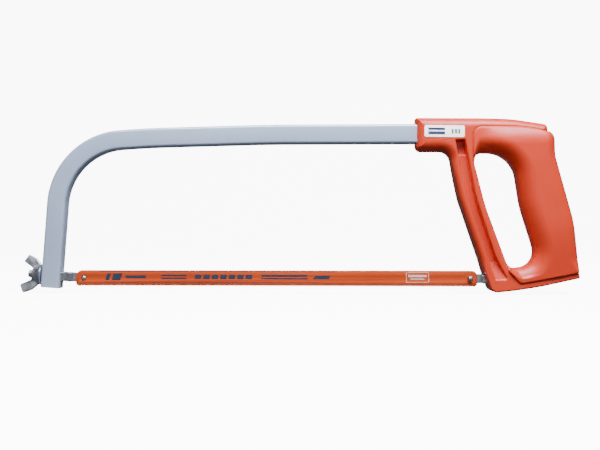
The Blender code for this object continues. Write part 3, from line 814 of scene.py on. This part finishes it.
def tooth_strip_mesh(middle_y):
    """Teeth that lean to the front, set in a wave to both sides so that the cut is wider than the blade."""
    pitch = 25.4 / TEETH_PER_INCH
    wave_length = 8 * pitch
    set_out = 0.22
    depth = 0.7
    tip_z = BLADE_BOTTOM + 0.05
    root_z = tip_z + depth
    corner = 2.6
    end_round = [(0.0, BLADE_WELD - 0.6), (0.5, BLADE_WELD - 1.6), (1.4, tip_z + 0.3), (corner, tip_z)]
    stations = [(BLADE_LEFT + x, z) for x, z in end_round]
    first = BLADE_LEFT + corner + 0.6
    for tooth in range(int((BLADE_RIGHT - corner - first) / pitch)):
        x = first + tooth * pitch
        stations += [(x, root_z), (x + 0.06 * pitch, tip_z), (x + 0.20 * pitch, tip_z + 0.06),
                     (x + 0.62 * pitch, tip_z + 0.62 * depth), (x + 0.86 * pitch, root_z + 0.02)]
    stations += [(BLADE_RIGHT - x, z) for x, z in reversed(end_round)]
    bend_z = root_z + 0.7
    maker = bmesh.new()
    columns = []
    for x, low in stations:
        column = []
        for side in (-1, 1):
            for z in (BLADE_WELD, max(bend_z, low + 0.3), low):
                bent = max(0.0, (bend_z - z) / (bend_z - tip_z))
                lean = set_out * math.sin(2 * math.pi * x / wave_length) * bent
                y = middle_y + side * BLADE_THICKNESS / 2 + lean
                column.append(maker.verts.new((x * MM, y * MM, z * MM)))
        columns.append(column)
    loops = [(0, 1), (1, 2), (2, 5), (5, 4), (4, 3), (3, 0)]
    for left, right in zip(columns, columns[1:]):
        for a, b in loops:
            maker.faces.new((left[a], right[a], right[b], left[b]))
    for column in (columns[0], columns[-1]):
        maker.faces.new([column[n] for n in (0, 1, 2, 5, 4, 3)])
    return mesh_from("blade_teeth", maker, 20.0)


def print_mark(name, corners, material):
    """A thin printed shape on the blade's near face."""
    middle_y = BLADE_NEAR_Y - INK_THICKNESS / 2
    mesh = flat_piece_mesh(name, [rounded_points(corners, 30.0)], INK_THICKNESS / 2, 0.0, middle_y)
    new_piece(name, mesh, material, "blade")


def bar_corners(left, low, right, high, radius=0.15, slant=0.0):
    return [(left, low, radius), (left + slant, high, radius), (right + slant, high, radius),
            (right, low, radius)]


def make_blade_print(ink, pale_ink):
    """Generic printed bars: no letters and no marks of any maker."""
    left = FRONT_PEG_X + 13.0
    right = FRONT_PEG_X + 198.0
    top = BLADE_TOP - 1.2
    low = BLADE_WELD + 0.6
    middle = (top + low) / 2
    marks = [
        bar_corners(left, top, right, top + 0.35), bar_corners(left, low - 0.35, right - 14.0, low),
        bar_corners(left + 4, low + 1.3, left + 7, top - 1.3, slant=1.6),
        bar_corners(left + 9, low + 1.3, left + 16, top - 1.3, slant=1.6),
        bar_corners(left + 20, middle - 1.1, left + 36, middle + 1.1),
        bar_corners(left + 48, middle + 0.5, left + 68, middle + 1.7),
        bar_corners(left + 48, middle - 1.7, left + 68, middle - 0.5),
    ]
    for n in range(7):
        start = left + 74 + n * 6.6
        marks.append(bar_corners(start, middle - 1.7, start + 5.2, middle + 1.7, slant=0.5))
    marks += [bar_corners(left + 126, middle + 0.2, left + 162, middle + 1.8),
              bar_corners(left + 126, middle - 1.7, left + 162, middle - 0.7),
              bar_corners(left + 166, middle - 1.6, left + 178, middle + 1.2, slant=2.2)]
    for n, corners in enumerate(marks):
        print_mark("blade_print_%02d" % n, corners, ink)
    frame_left = REAR_PEG_X - 49.0
    frame_right = REAR_PEG_X - 31.5
    line = 0.4
    pale = [
        bar_corners(frame_left, top - line, frame_right, top, 0.1),
        bar_corners(frame_left, low, frame_right, low + line, 0.1),
        bar_corners(frame_left, low, frame_left + line, top, 0.1),
        bar_corners(frame_right - line, low, frame_right, top, 0.1),
        bar_corners(frame_left + 1.6, middle + 0.2, frame_right - 1.6, middle + 1.9),
        bar_corners(frame_left + 3.4, middle - 1.7, frame_right - 3.4, middle - 0.9),
    ]
    for n, corners in enumerate(pale):
        print_mark("blade_tag_%02d" % n, corners, pale_ink)


# ---------- label and hidden pins ----------

def make_label(material, ink, grey_ink):
    near = -PLATE_HALF - 0.05
    half = LABEL_THICKNESS / 2
    outline = rounded_points(bar_corners(-15.1, -4.4, 15.1, 4.4, 1.3), 10.0)
    place = Matrix.Translation((LABEL_CENTRE[0] * MM, 0, LABEL_CENTRE[1] * MM))
    tilt = place @ Matrix.Rotation(LABEL_TILT, 4, "Y")
    mesh = flat_piece_mesh("label_sticker", [outline], half, 0.05, near - half)
    new_piece("label_sticker", mesh, material, "frame", "label", tilt)
    face = near - LABEL_THICKNESS
    marks = [(bar_corners(-12.4, -2.6, 0.4, -0.2, 0.3), ink), (bar_corners(-12.4, 0.7, 0.4, 2.6, 0.3), ink)]
    for n in range(3):
        marks.append((bar_corners(5.2 + n * 2.5, -1.9, 6.9 + n * 2.5, 1.7, 0.4), grey_ink))
    for n, (corners, shade) in enumerate(marks):
        name = "label_mark_%d" % n
        middle_y = face - INK_THICKNESS / 2
        mark = flat_piece_mesh(name, [rounded_points(corners, 20.0)], INK_THICKNESS / 2, 0.0, middle_y)
        new_piece(name, mark, shade, "frame", matrix=tilt)


def dress_cad_node(name, material):
    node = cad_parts[name]
    node.data.materials.clear()
    node.data.materials.append(material)


# ---------- stage, light and camera ----------

def make_stage():
    """A pale, glowing floor that curves up into a backdrop, in metres.

    It is hidden from diffuse and glossy rays, so it sends no light back to the saw.
    """
    floor_z = cad_box[0][2] - 0.0006
    curve_start = 0.7
    curve_radius = 0.9
    profile = [(-2.5, floor_z), (curve_start, floor_z)]
    for step in range(1, 13):
        angle = math.pi / 2 * step / 12
        profile.append((curve_start + curve_radius * math.sin(angle),
                        floor_z + curve_radius * (1 - math.cos(angle))))
    profile.append((curve_start + curve_radius, floor_z + 3.0))
    maker = bmesh.new()
    rows = [[maker.verts.new((x, y, z)) for x in (-4.0, 4.0)] for y, z in profile]
    for low, high in zip(rows, rows[1:]):
        maker.faces.new((low[0], low[1], high[1], high[0]))
    mesh = mesh_from("floor", maker, 80.0)
    floor = bpy.data.objects.new("floor", mesh)
    bpy.context.scene.collection.objects.link(floor)
    nodes = Nodes("floor_pale")
    grain = nodes.noise(60.0, 3.0)
    shade = nodes.mix(grain, (0.90, 0.905, 0.915, 1), (0.93, 0.93, 0.935, 1))
    mesh.materials.append(nodes.set(Base_Color=shade, Roughness=0.8, Normal=nodes.bump(grain, 0.02, 0.001),
                                    Emission_Color=(1.0, 1.0, 1.0, 1.0), Emission_Strength=FLOOR_GLOW))
    floor.visible_diffuse = False
    floor.visible_glossy = False


def area_light(name, place, aim, size, power, colour=(1, 1, 1)):
    light = bpy.data.lights.new(name, "AREA")
    light.shape = "RECTANGLE"
    light.size, light.size_y = size
    light.energy = power
    light.color = colour
    holder = bpy.data.objects.new(name, light)
    bpy.context.scene.collection.objects.link(holder)
    holder.location = place
    holder.rotation_euler = (Vector(aim) - Vector(place)).to_track_quat("-Z", "Y").to_euler()
    return holder


def make_lights():
    area_light("top_softbox", (0.10, -0.50, 0.82), (0.0, 0.0, -0.04), (1.0, 0.50), 38.0, (0.94, 0.975, 1.0))
    area_light("front_card", (0.1, -1.5, 0.35), (0.0, 0.0, -0.04), (1.6, 1.2), 3.5, (0.93, 0.97, 1.0))
    back = area_light("back_card", (0.0, 1.5, 0.15), (0.0, 0.0, -0.04), (1.6, 1.0), 6.0, (0.95, 0.98, 1.0))
    back.visible_glossy = False
    world = bpy.data.worlds.new("studio")
    world.use_nodes = True
    world.node_tree.nodes["Background"].inputs["Color"].default_value = (0.90, 0.95, 1.0, 1.0)
    world.node_tree.nodes["Background"].inputs["Strength"].default_value = 0.13
    bpy.context.scene.world = world


def make_camera():
    """Level camera in front of the saw, turned slightly off square."""
    camera = bpy.data.cameras.new("camera")
    camera.lens = 42.4
    camera.sensor_width = 36.0
    camera.clip_start = 0.01
    camera.clip_end = 20.0
    holder = bpy.data.objects.new("camera", camera)
    bpy.context.scene.collection.objects.link(holder)
    holder.location = (-0.0156, -0.5481, -0.0625)
    holder.rotation_euler = (math.pi / 2, 0, math.radians(1.6))
    bpy.context.scene.camera = holder


make_camera()
make_lights()
make_stage()

enamel = enamel_material()
zinc = zinc_material()
blade_paint = blade_material(
    "blade_paint", (0.52, 0.060, 0.012, 1), (0.60, 0.072, 0.016, 1), bare_below=BLADE_BOTTOM - 5.0)
tooth_paint = blade_material(
    "tooth_steel", (0.36, 0.045, 0.012, 1), (0.44, 0.055, 0.016, 1), bare_below=BLADE_BOTTOM - 0.15)
dark_ink = ink_material("ink_dark", (0.018, 0.026, 0.050, 1), (0.030, 0.042, 0.075, 1))
pale_ink = ink_material("ink_pale", (0.80, 0.66, 0.60, 1), (0.72, 0.55, 0.48, 1))
navy_ink = ink_material("ink_navy", (0.030, 0.045, 0.130, 1), (0.045, 0.062, 0.160, 1))
grey_ink = ink_material("ink_grey", (0.16, 0.18, 0.24, 1), (0.22, 0.24, 0.31, 1))

make_handle(enamel)
make_bow(satin_metal_material())
make_front_holder(zinc)
make_rear_holder(zinc)
make_peg("front_peg_fine", FRONT_PEG_X, FRONT_PEG_TIP_Y, "front_holder", "front_peg", zinc)
make_peg("rear_peg_fine", REAR_PEG_X, REAR_PEG_TIP_Y, "rear_holder", "rear_peg", zinc)
make_wing_nut(zinc)
make_blade(blade_paint, tooth_paint)
make_blade_print(dark_ink, pale_ink)
make_label(label_material(), navy_ink, grey_ink)
dress_cad_node("leg_end_plug", plug_material())
for pin in ("socket_pin_front", "socket_pin_rear", "rear_retaining_pin"):
    dress_cad_node(pin, zinc)
